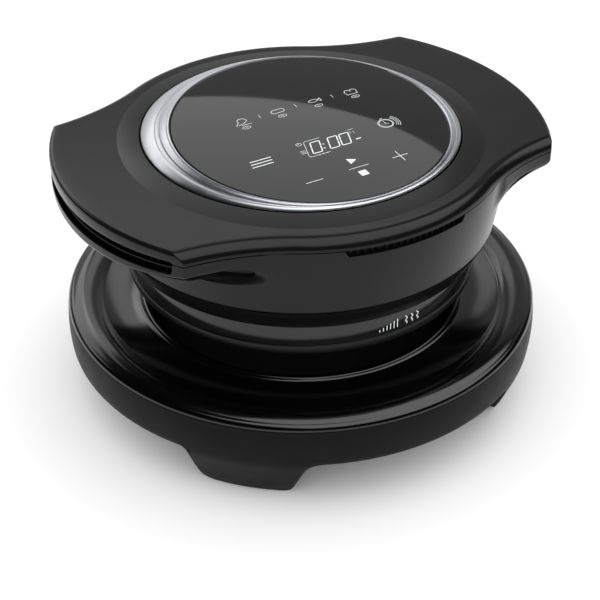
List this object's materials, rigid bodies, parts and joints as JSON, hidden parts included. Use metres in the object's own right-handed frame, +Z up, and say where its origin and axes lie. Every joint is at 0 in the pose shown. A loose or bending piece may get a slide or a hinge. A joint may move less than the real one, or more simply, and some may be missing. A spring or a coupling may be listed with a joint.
{
  "type": "hot-air crisping lid with stand",
  "caption": "Black hot-air crisping lid with two wing handles, a tilted touch panel in a chrome ring, a hot-air fan inside, parked on a round dished stand with feet.",
  "frame": {"origin": "on the lid's axis at the floor, under the middle of the stand", "axes": "+Z up along the lid's axis, -Y the front with the display, the two wing handles on +X and -X"},
  "size_m": [0.33, 0.3288, 0.2001],
  "materials": {
    "skirt_black": "fine matte moulded texture",
    "dish_gloss_black": "high gloss",
    "satin_black": "satin moulded",
    "gloss_black": "gloss",
    "black_enamel": "gloss enamel",
    "chrome_trim": "polished, with a brushed groove",
    "panel_glass": "dark, glossy",
    "black_rubber": "matt",
    "silicone": "satin",
    "inner_plastic": "moulded",
    "vent_black": "matt",
    "circuit_board": "solder mask",
    "component_black": "moulded",
    "relay_blue": "moulded",
    "terminal_green": "moulded",
    "steel": "brushed",
    "bright_aluminium": "pressed",
    "core_steel": "laminated",
    "winding_copper": "enamelled wire",
    "insulation": "ceramic fibre felt",
    "element_metal": "heat-darkened sheath",
    "ceramic_white": "glazed ceramic bead",
    "screw_steel": "zinc plated",
    "legend_white": "printed film, lit from behind"
  },
  "bodies": {
    "stand": {"stand_skirt": "skirt_black", "stand_dish": "dish_gloss_black", "foot_pads": "black_rubber", "rest_pads": "silicone", "stand_screws": "screw_steel"},
    "lid": {"top_cover": "satin_black", "body_shell": "satin_black", "lower_housing": "satin_black", "gloss_band": "gloss_black", "lip_ring": "satin_black", "spigot_skirt": "black_enamel", "pot_seal": "silicone", "chrome_ring": "chrome_trim", "glass_frame": "inner_plastic", "touch_glass": "panel_glass", "glass_gasket": "black_rubber", "legend_film": "legend_white", "touch_board": "circuit_board", "display_module": "component_black", "board_carrier": "inner_plastic", "wing_vent_grilles": "vent_black", "front_vent_grille": "vent_black", "recess_inserts": "vent_black", "cord_gland": "black_rubber", "power_board": "circuit_board", "relays": "relay_blue", "capacitors": "component_black", "transformer": "core_steel", "terminal_block": "terminal_green", "motor_bracket": "steel", "motor_grommets": "black_rubber", "motor_can": "steel", "stator_core": "core_steel", "stator_coils": "winding_copper", "lower_bearing": "steel", "upper_bearing": "steel", "reflector_dome": "bright_aluminium", "insulation_pad": "insulation", "heat_shield": "steel", "heating_element": "element_metal", "element_clips": "steel", "element_terminals": "ceramic_white", "guard_grille": "steel", "thermostat": "component_black", "thermal_fuse": "ceramic_white", "temperature_probe": "steel", "interlock_switch": "component_black", "housing_screws": "screw_steel", "lip_screws": "screw_steel", "motor_screws": "screw_steel", "board_screws": "screw_steel"},
    "fan_rotor": {"drive_shaft": "steel", "rotor_core": "core_steel", "hot_air_fan": "bright_aluminium", "fan_nut": "screw_steel", "cooling_fan": "inner_plastic"},
    "interlock_plunger": {"interlock_plunger": "inner_plastic", "plunger_spring": "screw_steel"}
  },
  "joints": [
    {"name": "lid_lift", "type": "slide", "parent": "stand", "child": "lid", "axis": [0, 0, 1], "range_m": [0, 0.12]},
    {"name": "fan_spin", "type": "hinge", "parent": "lid", "child": "fan_rotor", "pos_m": [0, 0, 0.14], "axis": [0, 0, 1], "continuous": true},
    {"name": "plunger_press", "type": "slide", "parent": "lid", "child": "interlock_plunger", "axis": [0, 0, 1], "range_m": [0, 0.0034], "stiffness_N_per_m": 150, "springref_m": -0.004, "deforming": ["plunger_spring"]}
  ]
}
